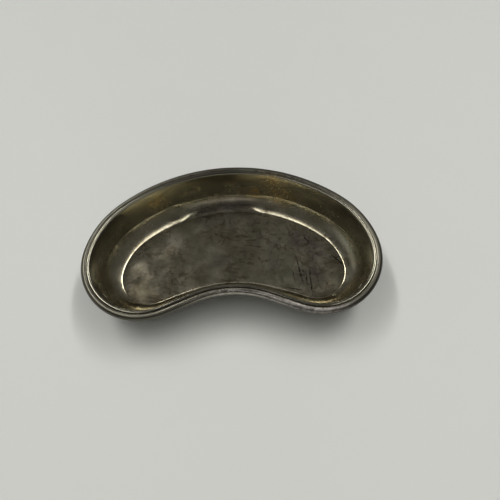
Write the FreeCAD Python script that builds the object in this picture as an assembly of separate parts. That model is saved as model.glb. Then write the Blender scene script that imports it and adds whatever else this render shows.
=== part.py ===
import FreeCAD, Part
import math
import os

# A kidney dish. One blank of sheet metal is pressed into a shallow basin, and its edge is
# rolled over a stiffening wire. Sizes are in millimetres and angles in degrees.
# +X runs along the dish, +Y towards its rounded back and +Z up. The origin is on the
# surface that the dish stands on, under the middle of its outline.

# Overall sizes, measured over the rolled edge
overall_length = 205.0
overall_width = 115.8
overall_height = 31.6

# Outline
back_rise = 30.3  # how far the back stands out past the two end lobes
back_angle = 39.0  # turn of the back's arc, from the middle to a shoulder
end_angle = 77.5  # turn from the middle of the back to the start of an end lobe
hollow_radius = 68.0  # hollow front, along the middle of the rolled edge
front_run = 20.0  # straight stretch between an end lobe and the hollow

# Sheet, and the wire inside its rolled edge
sheet = 0.7
wire_radius = 1.9
wire_gap = 0.8  # where the two ends of the wire meet
curl_turn = 300.0  # how far the edge is rolled round the wire

# Section of the basin
draft = 11.0  # lean of the wall from upright
floor_corner = 10.0  # inside radius between floor and wall
brow_inside = 0.8  # radius under the bend from the wall to the ledge
ledge = 0.3  # flat width of the ledge round the top
ledge_inside = 0.5  # radius under the ledge's outer bend
ledge_slope = 48.0  # slope from the ledge down into the groove
ledge_step = 0.35  # height of the ledge above the rolled edge
groove_radius = 0.3  # groove between the ledge and the rolled edge
groove_slope = 26.0  # slope from the groove up on to the rolled edge

UP = FreeCAD.Vector(0, 0, 1)

roll_radius = wire_radius + sheet
brow_radius = brow_inside + sheet
ledge_radius = ledge_inside + sheet
lean = 90.0 - draft


def sine(angle):
    return math.sin(math.radians(angle))


def cosine(angle):
    return math.cos(math.radians(angle))


def across(radius, angle):
    """How far a bend that starts or ends level goes sideways."""
    return radius * sine(angle)


def down(radius, angle):
    """How far a bend that starts or ends level goes up or down."""
    return radius * (1 - cosine(angle))


# A path is a list of steps, each tangent to the one before: ("run", length), or
# ("bend", radius, turn) where turning left is positive.


def right_of(heading):
    return FreeCAD.Vector(sine(heading), -cosine(heading), 0)


def walk(start, heading, steps, shift=0.0):
    """Edges of a path in the XY plane, moved to the right of its line by shift."""
    edges = []
    point = start + right_of(heading) * shift
    for step in steps:
        if step[0] == "run":
            end = point + FreeCAD.Vector(cosine(heading), sine(heading), 0) * step[1]
            edges.append(Part.LineSegment(point, end).toShape())
        else:
            side = math.copysign(1.0, step[2])
            radius = step[1] + side * shift
            centre = point - right_of(heading) * side * radius
            middle = centre + right_of(heading + step[2] / 2) * side * radius
            heading += step[2]
            end = centre + right_of(heading) * side * radius
            edges.append(Part.Arc(point, middle, end).toShape())
        point = end
    return edges


def carry(section, start, heading, steps):
    """Carries a section along a path. It is drawn in XZ, facing along +Y, with the path at
    its origin, and what it holds at +X is on the left of the path."""
    shape = section.copy()
    shape.rotate(FreeCAD.Vector(), UP, heading + 90)
    shape.translate(start)
    lengths = []
    point = start
    for step in steps:
        if step[0] == "run":
            move = FreeCAD.Vector(cosine(heading), sine(heading), 0) * step[1]
            lengths.append(shape.extrude(move))
            shape.translate(move)
            point = point + move
        else:
            side = math.copysign(1.0, step[2])
            centre = point - right_of(heading) * side * step[1]
            lengths.append(shape.revolve(centre, UP, step[2]))
            shape.rotate(centre, UP, step[2])
            heading += step[2]
            point = centre + right_of(heading) * side * step[1]
    return lengths


def outline():
    """The middle of the rolled edge, seen from above: where the right shoulder starts, the
    heading there, and the steps clockwise round the dish."""
    half_length = overall_length / 2 - roll_radius
    width = overall_width - 2 * roll_radius
    end_radius = (width - back_rise) / 2
    end_x = half_length - end_radius
    # The shoulder joins the back and the end lobe smoothly, which sets both their radii.
    row_x = (sine(back_angle), sine(end_angle) - sine(back_angle))
    row_y = (1 - cosine(back_angle), cosine(back_angle) - cosine(end_angle))
    sum_x = end_x + end_radius * sine(end_angle)
    sum_y = width - end_radius * (1 + cosine(end_angle))
    scale = row_x[0] * row_y[1] - row_x[1] * row_y[0]
    back_radius = (sum_x * row_y[1] - row_x[1] * sum_y) / scale
    shoulder_radius = (row_x[0] * sum_y - sum_x * row_y[0]) / scale
    # The straight run is tangent to the end lobe and to the hollow front.
    reach = math.hypot(end_radius + hollow_radius, front_run)
    slant = math.degrees(math.asin(end_x / reach))
    hollow_angle = slant - math.degrees(math.atan2(front_run, end_radius + hollow_radius))
    start = FreeCAD.Vector(
        across(back_radius, back_angle), width / 2 - down(back_radius, back_angle), 0
    )
    half = [
        ("bend", shoulder_radius, back_angle - end_angle),
        ("bend", end_radius, end_angle - 180 - hollow_angle),
        ("run", front_run),
    ]
    hollow = [("bend", hollow_radius, 2 * hollow_angle)]
    back = [("bend", back_radius, -2 * back_angle)]
    return start, -back_angle, half + hollow + half[::-1] + back


def step_run():
    """Length of the straight slope from the ledge's outer bend to the groove."""
    drop = ledge_step + down(roll_radius, groove_slope)
    bends = down(ledge_radius, ledge_slope) + down(groove_radius, ledge_slope)
    return (drop - bends + down(groove_radius, groove_slope)) / sine(ledge_slope)


def wall_run():
    """Length of the straight wall between the floor's corner and the brow."""
    bends = down(floor_corner, lean) + down(brow_radius, lean)
    return (overall_height - sheet - bends) / sine(lean)


def sheet_line():
    """The sheet's upper face, from the floor outwards and round the wire."""
    return [
        ("bend", floor_corner, lean),
        ("run", wall_run()),
        ("bend", brow_radius, -lean),
        ("run", ledge),
        ("bend", ledge_radius, -ledge_slope),
        ("run", step_run()),
        ("bend", groove_radius, ledge_slope + groove_slope),
        ("bend", roll_radius, -curl_turn),
    ]


def floor_inset():
    """Level distance from the middle of the rolled edge in to the flat floor."""
    wall = across(floor_corner, lean) + wall_run() * cosine(lean) + across(brow_radius, lean)
    rim = ledge + across(ledge_radius, ledge_slope) + step_run() * cosine(ledge_slope)
    groove = across(groove_radius, ledge_slope) + across(groove_radius, groove_slope)
    return wall + rim + groove + across(roll_radius, groove_slope)


def sheet_section():
    """The sheet from the floor's edge to the end of the curl, as one face in XZ."""
    start = FreeCAD.Vector(-floor_inset(), sheet, 0)
    upper = walk(start, 0.0, sheet_line())
    lower = walk(start, 0.0, sheet_line(), sheet)
    caps = []
    for end in (0, -1):
        first = upper[end].Vertexes[end].Point
        second = lower[end].Vertexes[end].Point
        caps.append(Part.LineSegment(first, second).toShape())
    face = Part.Face(Part.Wire(Part.__sortEdges__(upper + lower + caps)))
    face.rotate(FreeCAD.Vector(), FreeCAD.Vector(1, 0, 0), 90)
    return face


def wire_height():
    return overall_height - ledge_step - roll_radius


def basin():
    start, heading, steps = outline()
    rim = carry(sheet_section(), start, heading, steps)
    edges = walk(start, heading, steps, floor_inset())
    floor = Part.Face(Part.Wire(edges)).extrude(UP * sheet)
    return floor.fuse(rim).removeSplitter()


def rim_wire():
    start, heading, steps = outline()
    middle = FreeCAD.Vector(0, 0, wire_height())
    circle = Part.makeCircle(wire_radius, middle, FreeCAD.Vector(0, 1, 0))
    lengths = carry(Part.Face(Part.Wire(circle)), start, heading, steps)
    ring = lengths[0].fuse(lengths[1:]).removeSplitter()
    # The ends of the wire meet in the middle of the hollow front.
    height = 4 * wire_radius
    corner = FreeCAD.Vector(-wire_gap / 2, -overall_width, wire_height() - height / 2)
    gap = Part.makeBox(wire_gap, overall_width, height, corner)
    return ring.cut(gap)


def main():
    os.makedirs("parts", exist_ok=True)
    for name, shape in (("basin", basin()), ("rim_wire", rim_wire())):
        solid = shape.Solids[0]
        box = solid.BoundBox
        print(name, len(shape.Solids), "solid", "valid" if solid.isValid() else "not valid")
        print("  volume %.1f mm3, box %.2f x %.2f x %.2f mm"
              % (solid.Volume, box.XLength, box.YLength, box.ZLength))
        solid.exportStep("parts/%s.step" % name)


main()
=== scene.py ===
import math

import bpy
import numpy as np
from mathutils import Matrix, Vector
from mathutils.geometry import delaunay_2d_cdt


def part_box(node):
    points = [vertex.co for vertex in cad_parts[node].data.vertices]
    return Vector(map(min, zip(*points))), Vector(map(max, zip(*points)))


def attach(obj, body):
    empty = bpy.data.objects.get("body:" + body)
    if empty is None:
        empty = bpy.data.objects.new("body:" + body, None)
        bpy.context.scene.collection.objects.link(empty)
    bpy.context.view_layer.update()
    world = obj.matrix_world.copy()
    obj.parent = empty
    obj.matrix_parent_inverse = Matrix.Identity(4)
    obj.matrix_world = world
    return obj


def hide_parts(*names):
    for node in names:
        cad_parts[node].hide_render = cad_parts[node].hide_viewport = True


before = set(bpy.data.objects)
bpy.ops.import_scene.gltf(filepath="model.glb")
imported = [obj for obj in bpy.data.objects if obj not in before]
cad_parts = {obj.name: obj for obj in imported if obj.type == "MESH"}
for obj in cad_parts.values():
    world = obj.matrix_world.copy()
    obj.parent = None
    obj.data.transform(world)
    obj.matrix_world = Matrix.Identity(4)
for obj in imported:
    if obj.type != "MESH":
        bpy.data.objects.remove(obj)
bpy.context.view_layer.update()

# A kidney dish of worn nickel plate: one pressed sheet with its edge rolled over a wire. The
# sheet is built here, with dents and creases. The wire is the CAD's own. Lengths are in
# millimetres until the mesh is made, and angles in degrees.

MM = 0.001

# The dish's own sizes, as in the CAD. Its length, width and height come from the frame.
SHEET = 0.7
WIRE = 1.9
ROLL = WIRE + SHEET
CURL_TURN = 300.0
BACK_RISE = 30.3
BACK_ANGLE = 39.0
END_ANGLE = 77.5
HOLLOW_RADIUS = 68.0
FRONT_RUN = 20.0
LEAN = 79.0
FLOOR_CORNER = 10.0
BROW = 1.5
LEDGE = 0.3
LEDGE_BEND = 1.2
LEDGE_SLOPE = 48.0
LEDGE_STEP = 0.35
GROOVE = 0.3
GROOVE_SLOPE = 26.0

# The press left a crease at the foot and at the top of the rounded corner. The one at the foot
# is sharp round the two ends of the dish, and soft along the back and the hollow front.
SHARP = {"early": 0.9, "foot_radius": 2.6, "foot": 24.0, "top_radius": 1.4, "top": 17.0}
SOFT = dict(SHARP, foot_radius=7.0)
# Where it turns soft and then sharp again, from left to right
SOFT_BACK = (-47.0, -37.0, 17.0, 30.0)
SOFT_FRONT = (-40.0, -20.0, 20.0, 40.0)

# How finely the mesh is divided: round the dish, across the floor's two faces, and along the
# bends of the section
STATIONS = 430
FLOOR_GRID = 2.4
UNDER_GRID = 3.6
FOOT_PARTS = 8
CORNER_PARTS = 12
TOP_PARTS = 4
ROLL_PARTS = 36

# How far the real metal stands off its true shape
BROAD_WAVE = 0.11
FINE_WAVE = 0.035
FLOOR_RISE = 0.3
FLOOR_EASE = 0.2  # how soon the floor reaches that rise
# Heights between which the floor's rule, and then the roll's, takes over from the wall's
FLOOR_TOP = (1.0, 4.0)
ROLL_FOOT = (24.0, 28.0)
SHARP_EDGE = 50.0  # edges that turn by more than this are shaded sharp

LOW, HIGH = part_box("basin")
LENGTH, WIDTH, HEIGHT = (HIGH - LOW) / MM
ROLL_HEIGHT = HEIGHT - LEDGE_STEP - ROLL


def sine(angle):
    return math.sin(math.radians(angle))


def cosine(angle):
    return math.cos(math.radians(angle))


def level(radius, angle):
    return radius * (1 - cosine(angle))


def smooth(values, low, high):
    share = np.clip((values - low) / (high - low), 0, 1)
    return share * share * (3 - 2 * share)


def between(values, left, left_full, right_full, right):
    return smooth(values, left, left_full) * (1 - smooth(values, right_full, right))


# Paths: each step is ("run", length, parts) or ("bend", radius, turn, parts), left positive.


def walk(start, heading, steps):
    """Points along a path, and the direction to the left of it at each."""
    points, lefts = [start], [(-sine(heading), cosine(heading))]
    for step in steps:
        x, y = points[-1]
        turn = step[2] if step[0] == "bend" else 0.0
        for part in range(1, step[-1] + 1):
            now = heading + turn * part / step[-1]
            if step[0] == "run":
                run = step[1] * part / step[-1]
                points.append((x + run * cosine(now), y + run * sine(now)))
            else:
                radius = math.copysign(step[1], turn)
                along = radius * (sine(now) - sine(heading))
                aside = radius * (cosine(now) - cosine(heading))
                points.append((x + along, y - aside))
            lefts.append((-sine(now), cosine(now)))
        heading += turn
    return np.array(points), np.array(lefts)


def outline_steps():
    """The middle of the rolled edge from above, clockwise from the right shoulder."""
    half_length = LENGTH / 2 - ROLL
    width = WIDTH - 2 * ROLL
    end_radius = (width - BACK_RISE) / 2
    end_x = half_length - end_radius
    rows = np.array([
        [sine(BACK_ANGLE), sine(END_ANGLE) - sine(BACK_ANGLE)],
        [level(1, BACK_ANGLE), cosine(BACK_ANGLE) - cosine(END_ANGLE)],
    ])
    sums = [end_x + end_radius * sine(END_ANGLE), width - end_radius * (1 + cosine(END_ANGLE))]
    back_radius, shoulder_radius = np.linalg.solve(rows, sums)
    centres = end_radius + HOLLOW_RADIUS
    hollow_angle = math.degrees(
        math.asin(end_x / math.hypot(centres, FRONT_RUN)) - math.atan2(FRONT_RUN, centres)
    )
    start = (back_radius * sine(BACK_ANGLE), width / 2 - level(back_radius, BACK_ANGLE))
    half = [
        ("bend", shoulder_radius, BACK_ANGLE - END_ANGLE, 200),
        ("bend", end_radius, END_ANGLE - 180 - hollow_angle, 400),
        ("run", FRONT_RUN, 100),
    ]
    hollow = [("bend", HOLLOW_RADIUS, 2 * hollow_angle, 300)]
    back = [("bend", back_radius, -2 * BACK_ANGLE, 600)]
    return start, -BACK_ANGLE, half + hollow + half[::-1] + back


def outline(soften=3.0):
    """Evenly spaced points round the dish and their outward directions. The joints between
    arcs are softened, as they are on a hand-finished press tool."""
    points, _ = walk(*outline_steps())
    steps = np.hypot(*np.diff(points, axis=0).T)
    along = np.concatenate([[0], np.cumsum(steps)])
    even = np.linspace(0, along[-1], STATIONS, endpoint=False)
    ring = np.stack([np.interp(even, along, points[:, k]) for k in (0, 1)], 1)
    wave = np.fft.fftfreq(STATIONS, along[-1] / STATIONS) * 2 * math.pi
    keep = np.exp(-0.5 * (wave * soften) ** 2)[:, None]
    ring = np.fft.ifft(np.fft.fft(ring, axis=0) * keep, axis=0).real
    ahead = np.roll(ring, -1, 0) - np.roll(ring, 1, 0)
    outward = np.stack([-ahead[:, 1], ahead[:, 0]], 1)
    return ring, outward / np.linalg.norm(outward, axis=1)[:, None]


def corner_steps(crease):
    """The rounded corner with a crease at each end, ending on the wall's own line."""
    turns = [crease["foot"], LEAN - crease["foot"] - crease["top"], crease["top"]]
    to_wall = (-sine(LEAN), cosine(LEAN))
    reach, heading = [], 0.0
    for turn in turns:
        across = sine(heading + turn) - sine(heading)
        up = cosine(heading) - cosine(heading + turn)
        reach.append(across * to_wall[0] + up * to_wall[1])
        heading += turn
    plain = FLOOR_CORNER * (sine(LEAN) * to_wall[0] + level(1, LEAN) * to_wall[1])
    tight = crease["foot_radius"] * reach[0] + crease["top_radius"] * reach[2]
    middle = (plain - crease["early"] * sine(LEAN) - tight) / reach[1]
    return [
        ("bend", crease["foot_radius"], turns[0], FOOT_PARTS),
        ("bend", middle, turns[1], CORNER_PARTS),
        ("bend", crease["top_radius"], turns[2], TOP_PARTS),
    ]


def sheet_line(crease):
    """The sheet's upper face, from the floor's edge outwards and round the wire."""
    drop = LEDGE_STEP + level(ROLL, GROOVE_SLOPE)
    bends = level(LEDGE_BEND, LEDGE_SLOPE) + level(GROOVE, LEDGE_SLOPE)
    slope_run = (drop - bends + level(GROOVE, GROOVE_SLOPE)) / sine(LEDGE_SLOPE)
    corner = corner_steps(crease)
    rise = walk((0.0, 0.0), 0.0, corner)[0][-1][1]
    wall_run = (HEIGHT - SHEET - rise - level(BROW, LEAN)) / sine(LEAN)
    steps = corner + [
        ("run", wall_run, 6),
        ("bend", BROW, -LEAN, 10),
        ("run", LEDGE, 1),
        ("bend", LEDGE_BEND, -LEDGE_SLOPE, 6),
        ("run", slope_run, 1),
        ("bend", GROOVE, LEDGE_SLOPE + GROOVE_SLOPE, 5),
        ("bend", ROLL, -CURL_TURN, ROLL_PARTS),
    ]
    points, lefts = walk((0.0, SHEET), 0.0, steps)
    # The roll starts at the groove and is centred over the outline.
    points[:, 0] -= points[-1 - ROLL_PARTS, 0] + ROLL * sine(GROOVE_SLOPE)
    return points, lefts


def waves(seed, count, shortest, longest):
    """Long, low random waves in space, adding up to about one high."""
    rng = np.random.default_rng(seed)
    aim = rng.normal(size=(count, 3))
    aim /= np.linalg.norm(aim, axis=1)[:, None]
    length = rng.uniform(shortest, longest, count)
    return aim * 2 * math.pi / length[:, None], rng.uniform(0, 2 * math.pi, count)


def ripple(places, aim, phase):
    return np.sin(places @ aim.T + phase).sum(1) / math.sqrt(len(phase)) / 2


BROAD = waves(3, 9, 30.0, 90.0)
FINE = waves(8, 12, 9.0, 22.0)
# Knocks in the metal: place, reach, depth along the face (mm).
DENTS = [
    ((67.0, 11.0, 1.0), 5.0, 0.35),
    ((81.0, -20.0, 1.5), 4.0, 0.3),
    ((-43.0, 36.0, 5.0), 3.0, 0.16),
    ((-50.0, 37.0, 11.0), 3.5, -0.15),
    ((30.0, 43.0, 12.0), 6.0, 0.22),
    ((20.0, -40.0, 31.0), 2.2, 0.22),
    ((-3.0, -43.0, 30.0), 4.0, 0.14),
    ((-50.0, -55.0, 30.0), 5.0, 0.16),
    ((88.0, 30.0, 29.0), 4.0, 0.14),
    ((-18.0, 3.0, 0.7), 9.0, -0.2),
]


def unevenness(places):
    """How far the metal stands off its true shape, towards the inside of the dish."""
    off = BROAD_WAVE * ripple(places, *BROAD) + FINE_WAVE * ripple(places, *FINE)
    for centre, reach, depth in DENTS:
        gap = np.linalg.norm(places - np.array(centre), axis=1)
        off += depth * np.exp(-((gap / reach) ** 2))
    return off


def shell_rows():
    """The basin's skin outside the flat floor: a ring of stations, each the same section."""
    ring, outward = outline()
    sharp, lefts = sheet_line(SHARP)
    soft, _ = sheet_line(SOFT)
    x, y = ring.T
    share = np.where(y > 0, between(x, *SOFT_BACK), between(x, *SOFT_FRONT))[:, None, None]
    upper = sharp * (1 - share) + soft * share
    upper_3d = lift(ring, outward, upper)
    facing = lift(np.zeros_like(ring), outward, np.broadcast_to(lefts, upper.shape))
    off = unevenness(upper_3d.reshape(-1, 3)).reshape(upper.shape[:2])
    # The floor only ever rises, and the roll only ever sinks, so the box stays the CAD's.
    on_roll = smooth(upper_3d[:, :, 2], *ROLL_FOOT)
    on_floor = 1 - smooth(upper_3d[:, :, 2], *FLOOR_TOP)
    off = off * (1 - on_roll) - np.abs(off) * 0.5 * on_roll
    off = off * (1 - on_floor) + floor_rise(off) * on_floor
    moved = upper_3d + facing * off[:, :, None]
    under = moved - facing * SHEET
    from_rim = np.concatenate([upper[:, :, 0], upper[:, ::-1, 0]], 1)
    return np.concatenate([moved, under[:, ::-1]], 1), from_rim


def lift(ring, outward, section):
    places = np.zeros(section.shape[:2] + (3,))
    places[:, :, :2] = ring[:, None] + outward[:, None] * section[:, :, :1]
    places[:, :, 2] = section[:, :, 1]
    return places


def floor_rise(off):
    return FLOOR_RISE * (0.5 + 0.5 * np.tanh(off / FLOOR_EASE))


def inside(points, edge):
    """Which points lie inside a closed outline."""
    after = np.roll(edge, -1, 0)
    x, y = points[:, :1], points[:, 1:]
    spans = (edge[:, 1] > y) != (after[:, 1] > y)
    slope = (after[:, 0] - edge[:, 0]) / np.where(spans, after[:, 1] - edge[:, 1], 1.0)
    cross = edge[:, 0] + (y - edge[:, 1]) * slope
    return (spans & (x < cross)).sum(1) % 2 == 1


def floor_grid(edge, spacing):
    """A staggered grid of points that keeps clear of the floor's edge."""
    low, high = edge.min(0), edge.max(0)
    rows = np.arange(low[1], high[1], spacing * sine(60))
    points = []
    for number, y in enumerate(rows):
        xs = np.arange(low[0] + number % 2 * spacing / 2, high[0], spacing)
        points += [(x, y) for x in xs]
    points = np.array(points)
    points = points[inside(points, edge)]
    gap = np.linalg.norm(points[:, None] - edge[None], axis=2).min(1)
    return points[gap > spacing * 0.6]


def floor_skin(edge, first, rise, facing_up):
    """Triangles over the flat floor, and the new points that they need."""
    points = floor_grid(edge, FLOOR_GRID if facing_up else UNDER_GRID)
    flat = [Vector(p) for p in np.concatenate([edge, points])]
    count = len(edge)
    made = delaunay_2d_cdt(flat, [], [list(range(count))[::-1]], 1, 1e-6, True)
    heights = rise(np.array(made[0]))
    new, index = [], []
    for number, sources in enumerate(made[3]):
        old = [source for source in sources if source < count]
        if old:
            index.append(("edge", old[0]))
        else:
            index.append(("new", first + len(new)))
            new.append((*made[0][number], heights[number]))
    # The triangles also fill the hollow front. Those are left out.
    corners = np.array(made[0])
    centres = np.array([corners[list(face)].mean(0) for face in made[2]])
    faces = []
    for face, kept in zip(made[2], inside(centres, edge)):
        if kept:
            turned = face if facing_up else face[::-1]
            faces.append([index[corner] for corner in turned])
    return new, faces


def basin_mesh():
    rows, from_rim = shell_rows()
    count = rows.shape[1]
    places = [tuple(p) for p in rows.reshape(-1, 3)]
    faces = []
    for station in range(STATIONS):
        here, there = station * count, (station + 1) % STATIONS * count
        for k in range(count - 1):
            faces.append((here + k, there + k, there + k + 1, here + k + 1))
    for column, base, facing_up in ((0, SHEET, True), (count - 1, 0.0, False)):
        edge = rows[:, column, :2]

        def rise(points, base=base):
            flat = np.concatenate([points, np.full((len(points), 1), SHEET)], 1)
            return base + floor_rise(unevenness(flat))

        new, skin = floor_skin(edge, len(places), rise, facing_up)
        places += new
        for face in skin:
            faces.append([i * count + column if kind == "edge" else i for kind, i in face])
    mesh = bpy.data.meshes.new("dish")
    mesh.from_pydata([Vector(p) * MM for p in places], [], faces)
    reach = np.full(len(places), from_rim.min())
    reach[:from_rim.size] = from_rim.ravel()
    mesh.attributes.new("from_rim", "FLOAT", "POINT").data.foreach_set("value", reach)
    # The crease at the top of the corner, whose crest gets a painted highlight
    crease_foot = FOOT_PARTS + CORNER_PARTS
    crest_highlight = np.zeros((STATIONS, count))
    crest_highlight[:, crease_foot + 1:crease_foot + TOP_PARTS] = 1
    highlight_rows = np.zeros(len(places))
    highlight_rows[:crest_highlight.size] = crest_highlight.ravel()
    mesh.attributes.new("crest_highlight", "FLOAT", "POINT").data.foreach_set("value", highlight_rows)
    mesh.shade_smooth()
    mesh.set_sharp_from_angle(angle=math.radians(SHARP_EDGE))
    return mesh


def add_object(name, mesh):
    made = bpy.data.objects.new(name, mesh)
    bpy.context.scene.collection.objects.link(made)
    return made


# Materials are built from nodes. Their patterns are placed in millimetres of the row frame.


class Nodes:
    def __init__(self, data):
        data.use_nodes = True
        self.tree = data.node_tree

    def place(self):
        """Where a point is in the row frame, in millimetres."""
        return self.scale(self.add("TexCoord", out=3), 1 / MM)

    def add(self, kind, sockets=(), out=0, **settings):
        node = self.tree.nodes.new("ShaderNode" + kind)
        for name, value in settings.items():
            setattr(node, name, value)
        for name, value in dict(sockets).items():
            self.put(node, name, value)
        return node.outputs[out]

    def put(self, node, name, value):
        if isinstance(value, bpy.types.NodeSocket):
            self.tree.links.new(value, node.inputs[name])
        else:
            node.inputs[name].default_value = value

    def math(self, operation, a, b=0.0, clamp=False):
        return self.add("Math", {0: a, 1: b}, operation=operation, use_clamp=clamp)

    def chain(self, operation, first, *others):
        for other in others:
            first = self.math(operation, first, other)
        return first

    def times(self, *values):
        return self.chain("MULTIPLY", *values)

    def total(self, *values):
        return self.chain("ADD", *values)

    def largest(self, *values):
        return self.chain("MAXIMUM", *values)

    def rest_of(self, share):
        return self.math("SUBTRACT", 1.0, share)

    def vector(self, operation, a, b=(0, 0, 0), out=0):
        return self.add("VectorMath", {0: a, 1: b}, out, operation=operation)

    def scale(self, a, by):
        return self.add("VectorMath", {0: a, "Scale": by}, operation="SCALE")

    def step(self, value, low, high, start=0.0, end=1.0):
        """Goes smoothly from start to end as value goes from low to high."""
        sockets = {"Value": value, 1: low, 2: high, 3: start, 4: end}
        return self.add("MapRange", sockets, interpolation_type="SMOOTHSTEP")

    def mix(self, share, a, b):
        sockets = {0: share, 6: a, 7: b}
        return self.add("Mix", sockets, 2, data_type="RGBA")

    def noise(self, place, wavelength, detail=3.0, roughness=0.55, warp=0.0, seed=0.0):
        """Cloudy noise from 0 to 1, with features about as wide as the wavelength."""
        sockets = {
            "Vector": place, "W": seed, "Scale": 1 / wavelength, "Detail": detail,
            "Roughness": roughness, "Distortion": warp,
        }
        return self.add("TexNoise", sockets, noise_dimensions="4D")

    def stretch(self, place, turn, sizes):
        """Places turned about Z, then shrunk along each axis, so that features grow."""
        turned = self.add("VectorRotate", {"Vector": place, "Angle": math.radians(turn)})
        return self.vector("DIVIDE", turned, sizes)

    def spot(self, place, centre, reach):
        """1 at the centre, falling to 0 at the reach."""
        gap = self.vector("DISTANCE", place, centre, out=1)
        return self.step(gap, 0.0, reach, 1.0, 0.0)

    def hairs(self, place, cell, width, turn, seed):
        """Fine straight scratches, each cell of the pattern with a few in its own direction."""
        sockets = {"Vector": place, "Scale": 1 / cell, "Randomness": 1.0}
        tint = self.add("TexVoronoi", sockets, 1, voronoi_dimensions="3D")
        pick = self.add("SeparateColor", {"Color": tint})
        angle = self.math("MULTIPLY_ADD", pick, turn)
        angle.node.inputs[2].default_value = seed
        turned = self.add("VectorRotate", {"Vector": place, "Angle": angle})
        drawn = self.vector("MULTIPLY", turned, (0.06, 1.0, 1.0))
        lines = self.noise(drawn, width * 4, 1.0, 0.4, 0.0, seed)
        return self.step(lines, 0.63, 0.72)

    def strands(self, place, size, width, seed, warp=0.25):
        """Thin curling lines, where a cloudy noise passes its middle value."""
        cloud = self.noise(place, size, 2.0, 0.45, warp, seed)
        off = self.math("ABSOLUTE", self.math("SUBTRACT", cloud, 0.5))
        line = self.step(off, width * 0.3, width, 1.0, 0.0)
        broken = self.step(self.noise(place, size * 0.7, 1.0, 0.5, 0.0, seed + 5), 0.5, 0.62)
        return self.times(line, broken)

    def stroke(self, place, start, end, width):
        """One scratch from start to end, thinning at both ends."""
        run = Vector(end) - Vector(start)
        offset = self.vector("SUBTRACT", place, start)
        along = self.vector("DOT_PRODUCT", offset, run, out=1)
        along = self.math("DIVIDE", along, run.length_squared)
        kept = self.math("MINIMUM", self.math("MAXIMUM", along, 0.0), 1.0)
        nearest = self.scale(tuple(run), kept)
        gap = self.vector("DISTANCE", offset, nearest, out=1)
        # The taper is 1 in the middle
        taper = self.times(kept, self.rest_of(kept))
        reach = self.times(self.math("POWER", taper, 0.4), width * 1.74)
        off = self.math("DIVIDE", gap, self.math("ADD", reach, 0.02))
        return self.step(off, 0.35, 1.0, 1.0, 0.0)


NICKEL = (0.61, 0.57, 0.44, 1)
FILM = (0.43, 0.39, 0.27, 1)
WALL_SHADE = (0.35, 0.345, 0.27, 1)
BROWN = (0.12, 0.075, 0.035, 1)
BRASS = (0.78, 0.57, 0.25, 1)
PLUM = (0.25, 0.19, 0.19, 1)
GREEN = (0.38, 0.42, 0.30, 1)
SOOT = (0.035, 0.03, 0.02, 1)
BRONZE = (0.42, 0.32, 0.20, 1)
SILVER = (0.86, 0.81, 0.76, 1)
GLINT_PALE = (0.92, 0.90, 0.80, 1)
SPECK = (0.92, 0.76, 0.45, 1)
DULL_AND_SHADE = (0.22, 0.212, 0.175, 1)
OUTSIDE_SHADE = (0.15, 0.135, 0.105, 1)
ROLL_SHADE = (0.07, 0.066, 0.052, 1)

# Where the plate has worn or stained: colour, place, reach, strength.
STAINS = [
    (PLUM, (52, 8, 1), 16, 0.75),
    (PLUM, (63, 0, 1), 13, 0.85),
    (PLUM, (60, -14, 1), 16, 0.6),
    (PLUM, (-2, 41, 3), 30, 0.55),
    (GREEN, (36, -15, 1), 16, 0.8),
    (GREEN, (85, 3, 6), 20, 0.7),
    (GREEN, (-30, 33, 3), 18, 0.5),
    (BROWN, (5, 8, 1), 40, 0.3),
    (BROWN, (-50, -31, 2), 15, 0.7),
    (BROWN, (50, -33, 2), 17, 0.6),
    (BROWN, (67, -37, 4), 15, 0.65),
    (BROWN, (-69, -39, 4), 14, 0.65),
    (BRASS, (-55, 36, 20), 12, 1.0),
    (BRASS, (19, 46, 12), 11, 0.9),
    (BRASS, (38, 42, 13), 15, 0.9),
    (BRASS, (31, 47, 30), 15, 0.8),
]

# Deep scratches in the floor near the right end.
STROKES = [
    ((46, -2, 0.7), (50.5, -27, 0.7), 0.7),
    ((50, -8, 0.7), (51.5, -19, 0.7), 0.5),
    ((55.5, -10, 0.7), (56, -35, 0.7), 0.75),
    ((52.5, -14, 0.7), (53, -27, 0.7), 0.5),
    ((39, -28, 0.7), (50, -30.5, 0.7), 0.6),
    ((60, -17, 0.7), (62, -30, 0.7), 0.4),
    ((66, -22, 0.7), (70, -34, 0.7), 0.35),
    ((72, -3, 0.7), (81, -12, 0.7), 0.8),
    ((43, -14, 0.7), (45, -26, 0.7), 0.4),
    ((53, 12, 0.7), (57, 8, 0.7), 0.9),
]

# Painted glints inside, short and bright: two in the corner at the back left, and one on each end
# wall
PAINTED_GLINTS = [
    ((-53, 34.8, 8.5), (-47, 37, 8.5), 0.5),
    ((-45.5, 35.5, 5.0), (-40, 37.3, 5.0), 0.5),
    ((-87.5, -35.5, 23.5), (-85, -37.5, 20), 0.8),
    ((84, -40, 24.5), (87.5, -35, 21), 0.75),
]


# Bare brass shows in specks round these places: centre and reach.
BRASS_SPECKS = [((38, 42, 12), 13.0), ((-52, 37, 17), 10.0), ((30, 47, 29), 13.0)]

# The rolled edge is mottled round the first place, and rubbed silvery round the second.
MOTTLED, MOTTLED_REACH = (0, -42, 30), 48.0
SILVERED, SILVERED_REACH = (27, -44, 30), 62.0

# Levels outwards from the middle of the rolled edge, where the roll begins and the groove lies
ROLL_FROM = (-1.5, -1.0)
GROOVE_FROM = (-2.25, -1.85)
GROOVE_TO = (-1.35, -1.0)
RIM_HEIGHT = (26.5, 28.5)


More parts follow.
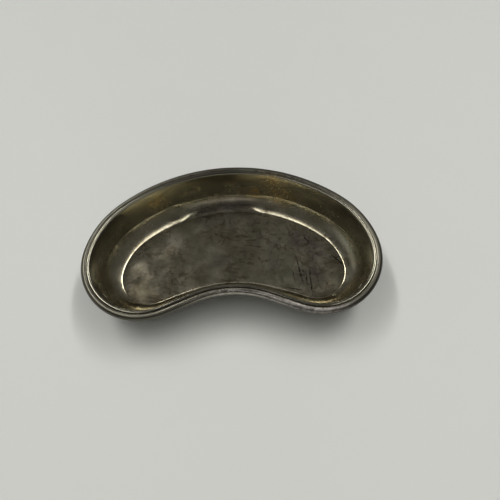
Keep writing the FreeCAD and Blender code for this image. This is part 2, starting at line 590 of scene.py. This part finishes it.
class Plate(Nodes):
    """The worn plating's nodes, and where on the dish a point is."""

    def __init__(self, data):
        super().__init__(data)
        self.at = self.place()
        self.x, self.y, self.height = self.add("SeparateXYZ", {0: self.at}).node.outputs
        facing = self.add("NewGeometry", out=1)
        self.upward = self.add("SeparateXYZ", {0: facing}).node.outputs[2]
        self.from_rim = self.add("Attribute", out=2, attribute_name="from_rim")
        self.on_rim = self.step(self.height, *RIM_HEIGHT)
        self.on_roll = self.times(self.on_rim, self.step(self.from_rim, *ROLL_FROM))
        low = self.step(self.height, 1.5, 6.0, 1.0, 0.0)
        self.on_floor = self.times(self.step(self.upward, 0.2, 0.6), low)
        # Places pushed about, which makes an edge or a line less regular
        cloud = self.add("TexNoise", {"Vector": self.scale(self.at, 0.12), "Detail": 3.0}, 1)
        self.push = self.scale(self.vector("SUBTRACT", cloud, (0.5, 0.5, 0.5)), 9.0)
        self.drift = self.vector("ADD", self.at, self.push)
        self.bent = self.vector("ADD", self.at, self.scale(self.push, 0.12))

    def film(self):
        """The plating's own colour, with its cloudy film and its stains, and painted shade up the
        walls.
        """
        broad = self.noise(self.at, 22.0, 4.0, 0.6, warp=0.6, seed=1.0)
        colour = self.mix(self.step(broad, 0.35, 0.68), NICKEL, FILM)
        blotch = self.noise(self.at, 5.0, 3.0, 0.6, warp=0.8, seed=2.0)
        colour = self.mix(self.times(self.step(blotch, 0.5, 0.75), 0.2), colour, BRONZE)
        # Painted shade: the walls darker from the floor upwards
        colour = self.mix(self.step(self.height, 3.0, 12.0, 0.0, 0.6), colour, WALL_SHADE)
        for number, (tint, centre, reach, strength) in enumerate(STAINS):
            cloud = self.noise(self.at, reach * 0.3, 4.0, 0.65, warp=0.5, seed=3.0 + number)
            ragged = self.step(cloud, 0.35, 0.62)
            share = self.times(self.spot(self.drift, centre, reach), ragged, strength)
            colour = self.mix(share, colour, tint)
        return colour

    def scribbles(self):
        """Scribbled wear on the floor, where dirt sits."""
        marks = self.strands(self.at, 12.0, 0.03, seed=21.0)
        for size, width, seed in ((7.0, 0.035, 22.0), (18.0, 0.02, 23.0)):
            marks = self.largest(marks, self.strands(self.at, size, width, seed))
        across = self.stretch(self.at, 10.0, (4.0, 1.0, 1.0))
        marks = self.largest(marks, self.strands(across, 3.0, 0.06, seed=24.0))
        marks = self.largest(marks, self.hairs(self.at, 22.0, 0.16, 6.28, seed=33.0))
        busy = self.noise(self.at, 30.0, 2.0, 0.5, seed=9.0)
        busy = self.step(busy, 0.30, 0.55, 0.25, 1.0)
        return self.times(marks, self.on_floor, busy, 0.6)

    def fine_hairs(self):
        wide = self.hairs(self.at, 14.0, 0.12, 6.28, seed=31.0)
        return self.largest(wide, self.hairs(self.at, 25.0, 0.1, 6.28, seed=32.0))

    def strokes(self, rows):
        marks = 0.0
        for start, end, width in rows:
            marks = self.largest(marks, self.stroke(self.bent, start, end, width))
        return marks

    def crest_highlight(self):
        """A painted highlight along the crest of the crease above the corner, at the back."""
        line = self.add("Attribute", out=2, attribute_name="crest_highlight")
        back = self.step(self.y, -12.0, 8.0, 0.0, 0.6)
        broken = self.noise(self.at, 5.0, 3.0, 0.6, seed=35.0)
        broken = self.step(broken, 0.3, 0.55, 0.25, 1.0)
        return self.times(self.math("POWER", line, 5.0), back, broken)

    def specks(self):
        """Specks of bare brass along the back wall."""
        fine = self.step(self.noise(self.at, 1.1, 2.0, 0.6, seed=34.0), 0.60, 0.66)
        spots = [self.spot(self.drift, centre, reach) for centre, reach in BRASS_SPECKS]
        return self.times(fine, self.largest(*spots), 0.9)

    def dulled_and_shaded(self, plain):
        """How handled the rim is, less where it is plain. On the ledge it is also painted shade,
        stronger towards the left.
        """
        dull = self.noise(self.at, 14.0, 3.0, 0.6, warp=0.4, seed=42.0)
        dull = self.step(dull, 0.3, 0.7, 0.5, 0.75)
        along = self.step(self.x, -60.0, 60.0, 1.1, 0.6)
        return self.times(dull, plain, self.largest(self.on_roll, along), self.on_rim)

    def shaded_roll(self, plain):
        """Painted shade on the rolled edge, darker towards the right. Its outer flank, which
        faces down and out, is painted dark all round.
        """
        shade_along = self.times(self.step(self.x, -60.0, 70.0, 0.72, 1.0), plain)
        outer = self.step(self.from_rim, -0.8, 0.3, 0.5, 1.0)
        flank = self.step(self.upward, 0.25, 0.75, 0.85, 0.0)
        return self.largest(
            self.times(self.on_roll, shade_along, outer), self.times(self.on_roll, flank)
        )

    def silvered(self):
        """Rubbed bare where the dish is held, in the hollow front and to its right."""
        patchy = self.noise(self.at, 3.0, 4.0, 0.65, warp=0.5, seed=43.0)
        patchy = self.step(patchy, 0.34, 0.58, 0.3, 1.0)
        near = self.spot(self.at, SILVERED, SILVERED_REACH)
        near = self.math("MULTIPLY", near, 2.4, clamp=True)
        front = self.step(self.y, -45.0, -25.0, 1.0, 0.0)
        top = self.step(self.upward, 0.35, 0.7, 0.3, 1.0)
        return self.times(near, front, patchy, self.on_roll, 0.5, top)

    # Painted shade in the groove between the ledge and the roll
    def groove_shade(self):
        inner = self.step(self.from_rim, *GROOVE_FROM)
        outer = self.step(self.from_rim, *GROOVE_TO, 1.0, 0.0)
        return self.times(inner, outer, self.on_rim)

    def outside_shade(self):
        """Painted shade on the outside of the dish, streaked up and down as the metal was drawn.
        """
        outside = self.step(self.upward, -0.12, 0.0, 1.0, 0.0)
        drawn = self.vector("DIVIDE", self.at, (1.0, 1.0, 5.0))
        drawn = self.noise(drawn, 5.0, 4.0, 0.6, warp=0.4, seed=44.0)
        return self.times(outside, self.step(drawn, 0.3, 0.7, 0.68, 0.95))

    def pits(self):
        dots = self.add("TexVoronoi", {"Vector": self.at, "Scale": 0.9, "Randomness": 1.0})
        few = self.step(self.noise(self.at, 9.0, 2.0, 0.5, seed=41.0), 0.60, 0.68)
        return self.times(self.step(dots, 0.08, 0.25, 1.0, 0.0), few, self.on_rim)


def plated_metal():
    material = bpy.data.materials.new("worn_nickel")
    net = Plate(material)

    scribbles, hairs, crest_highlight, specks = net.scribbles(), net.fine_hairs(), net.crest_highlight(), net.specks()
    deep = net.times(net.strokes(STROKES), net.on_floor)
    clogged = net.step(net.noise(net.at, 1.6, 2.0, 0.6, seed=33.0), 0.3, 0.55)
    painted_glints = net.strokes(PAINTED_GLINTS)
    plain = net.rest_of(net.times(net.spot(net.at, MOTTLED, MOTTLED_REACH), 0.75))
    roll_shade, silver, groove_shade = net.shaded_roll(plain), net.silvered(), net.groove_shade()
    pitted = net.pits()

    # Layers of colour, from the plating up: each a share of the surface and its tint
    colour = net.film()
    for share, tint in (
        (scribbles, BROWN),
        (net.times(hairs, 0.15), BRONZE),
        (net.times(deep, clogged), SOOT),
        # painted highlight along the crest
        (crest_highlight, GLINT_PALE),
        (specks, SPECK),
        # painted glints
        (painted_glints, GLINT_PALE),
        # handled dullness, and painted shade on the ledge towards the left
        (net.dulled_and_shaded(plain), DULL_AND_SHADE),
        # painted shade on the rolled edge
        (roll_shade, ROLL_SHADE),
        (silver, SILVER),
        # painted shade in the groove
        (net.times(groove_shade, 0.97), SOOT),
        # painted shade on the outside
        (net.outside_shade(), OUTSIDE_SHADE),
        (net.times(pitted, 0.7), SOOT),
    ):
        colour = net.mix(share, colour, tint)

    cloud = net.noise(net.at, 12.0, 4.0, 0.6, warp=0.3, seed=51.0)
    satin = net.times(net.step(net.height, 1.3, 5.0), net.step(net.height, 18.0, 26.0, 1.2, 0.1))
    rough = net.total(
        net.step(cloud, 0.3, 0.7, 0.11, 0.19),
        net.times(scribbles, 0.03),
        net.times(satin, 0.09),
        net.times(net.largest(roll_shade, silver, groove_shade), 0.24),
        net.times(pitted, 0.3),
        net.times(net.largest(painted_glints, crest_highlight, specks), 0.3),
    )

    grain = net.noise(net.stretch(net.at, 20.0, (6.0, 1.0, 1.0)), 0.5, 2.0, 0.5, seed=61.0)
    peel = net.noise(net.at, 2.6, 2.0, 0.4, seed=62.0)
    bumps = net.total(net.times(grain, 0.001), net.times(peel, 0.004))
    for layer, depth in ((scribbles, 0.001), (hairs, 0.002), (deep, 0.01), (pitted, 0.02)):
        bumps = net.math("SUBTRACT", bumps, net.times(layer, depth))

    # Painted highlights: the glints and the crest are made partly non-metal, so that they show
    # pale
    highlight_share = net.largest(net.times(painted_glints, 0.8), net.times(crest_highlight, 0.35))
    shader = net.tree.nodes["Principled BSDF"]
    net.put(shader, "Base Color", colour)
    net.put(shader, "Roughness", rough)
    net.put(shader, "Metallic", net.rest_of(highlight_share))
    bump = net.add("Bump", {"Strength": 1.0, "Distance": MM, "Height": bumps})
    net.put(shader, "Normal", bump)
    return material


def wire_metal():
    material = bpy.data.materials.new("dull_wire")
    net = Nodes(material)
    shader = net.tree.nodes["Principled BSDF"]
    place = net.place()
    stain = net.step(net.noise(place, 3.5, 4.0, 0.65, warp=0.6, seed=71.0), 0.45, 0.65)
    tone = net.step(net.noise(place, 9.0, 3.0, 0.5, seed=72.0), 0.3, 0.7)
    colour = net.mix(tone, (0.33, 0.31, 0.28, 1), (0.22, 0.20, 0.17, 1))
    colour = net.mix(net.times(stain, 0.8), colour, (0.14, 0.07, 0.035, 1))
    drawn = net.noise(place, 0.4, 3.0, 0.6, seed=73.0)
    bumps = net.total(net.times(drawn, 0.02), net.times(stain, 0.03))
    net.put(shader, "Base Color", colour)
    net.put(shader, "Roughness", net.step(stain, 0.0, 1.0, 0.38, 0.7))
    net.put(shader, "Normal", net.add("Bump", {"Distance": MM, "Height": bumps}))
    net.put(shader, "Metallic", 1.0)
    return material


def table_paint():
    material = bpy.data.materials.new("table_paint")
    net = Nodes(material)
    shader = net.tree.nodes["Principled BSDF"]
    place = net.place()
    tone = net.noise(place, 160.0, 4.0, 0.6, seed=81.0)
    colour = net.mix(tone, (0.91, 0.93, 0.905, 1), (0.87, 0.89, 0.865, 1))
    net.put(shader, "Base Color", colour)
    net.put(shader, "Roughness", 0.55)
    return material


dish = add_object("dish", basin_mesh())
dish.data.materials.append(plated_metal())
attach(dish, "root")
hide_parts("basin")
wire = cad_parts["rim_wire"]
wire.data.materials.clear()
wire.data.materials.append(wire_metal())

# The table, a square this far out in metres
TABLE_REACH = 3.0
square = [(-TABLE_REACH, -TABLE_REACH, 0), (TABLE_REACH, -TABLE_REACH, 0),
          (TABLE_REACH, TABLE_REACH, 0), (-TABLE_REACH, TABLE_REACH, 0)]
table_mesh = bpy.data.meshes.new("table")
table_mesh.from_pydata(square, [], [(0, 1, 2, 3)])
table_mesh.materials.append(table_paint())
add_object("table", table_mesh)

# Camera, aimed at the dish as in the photograph
VIEW_UP = 64.56
VIEW_TURN = 1.24
VIEW_ROLL = 3.366
VIEW_DISTANCE = 342.8
SENSOR = 36.0
LENS = 36.07
AIM = Vector((12.93, -10.09, ROLL_HEIGHT))


def place_camera():
    camera = bpy.data.cameras.new("camera")
    camera.sensor_width = SENSOR
    camera.lens = LENS
    eye = add_object("camera", camera)
    flat = cosine(VIEW_UP)
    back = Vector((sine(VIEW_TURN) * flat, -cosine(VIEW_TURN) * flat, sine(VIEW_UP)))
    right = Vector((cosine(VIEW_TURN), sine(VIEW_TURN), 0))
    up = back.cross(right)
    rolled_right = right * cosine(VIEW_ROLL) - up * sine(VIEW_ROLL)
    rolled_up = right * sine(VIEW_ROLL) + up * cosine(VIEW_ROLL)
    eye.matrix_world = Matrix((rolled_right, rolled_up, back)).transposed().to_4x4()
    eye.location = (AIM + back * VIEW_DISTANCE) * MM
    bpy.context.scene.camera = eye


place_camera()

# The ring of light, on a ceiling one high: half its width, half its depth, and how far its
# middle is behind the dish
RING_ACROSS, RING_DEEP, RING_BEHIND = 0.49, 0.87, 0.5
RING_LIGHT = 15.8
FRONT_LIGHT = 0.42
LEFT_LIGHT = 0.25
DIM_LIGHT = 0.082
LIGHT_COLOUR = (1.0, 0.985, 0.95, 1)
BACKDROP = (0.63, 0.64, 0.62, 1)


def room():
    """A dim room with a ring of soft light overhead, open at its near end, and a pale wall in
    front. Light comes from all round, so the dish can be seen from any side."""
    world = bpy.data.worlds.new("room")
    net = Nodes(world)
    look = net.add("TexCoord", out=0)
    x, y, z = net.add("SeparateXYZ", {0: look}).node.outputs
    # Where a line of sight meets the ceiling
    rise = net.math("MAXIMUM", z, 0.05)
    across, ahead = net.math("DIVIDE", x, rise), net.math("DIVIDE", y, rise)
    behind = net.math("SUBTRACT", ahead, RING_BEHIND)
    oval = net.add("CombineXYZ", {
        0: net.math("DIVIDE", across, RING_ACROSS), 1: net.math("DIVIDE", behind, RING_DEEP),
    })
    out = net.vector("LENGTH", oval, out=1)
    ring = net.times(net.step(out, 0.90, 0.98), net.step(out, 1.12, 1.22, 1.0, 0.0))
    beside = net.step(net.math("ABSOLUTE", across), 0.19, 0.25)
    opened = net.largest(beside, net.step(ahead, 0.4, 0.6))
    back = net.step(ahead, 0.7, 1.05, 1.0, 0.03)
    fade = net.step(ahead, -0.2, 0.6, 0.18, 1.3)
    lamp = net.times(ring, opened, RING_LIGHT, back, fade)
    front = net.times(net.step(y, -0.94, -0.85, 1.0, 0.0), FRONT_LIGHT)
    left = net.times(net.step(x, -0.95, -0.75, 1.0, 0.0), LEFT_LIGHT)
    # A darker patch of ceiling, which the flat floor reflects
    patch = net.vector("DISTANCE", look, (0.0, -0.43, 0.9), out=1)
    walls = net.times(net.total(front, left, DIM_LIGHT), net.step(patch, 0.2, 0.4, 0.4, 1.0))
    # The dish is seen against a plain pale backdrop, which lights nothing
    seen = net.add("LightPath")
    strength = net.total(net.times(net.total(walls, lamp), net.rest_of(seen)), seen)
    background = net.tree.nodes["Background"]
    net.put(background, "Color", net.mix(seen, LIGHT_COLOUR, BACKDROP))
    net.put(background, "Strength", strength)
    bpy.context.scene.world = world


room()
bpy.context.scene.view_settings.view_transform = "Standard"
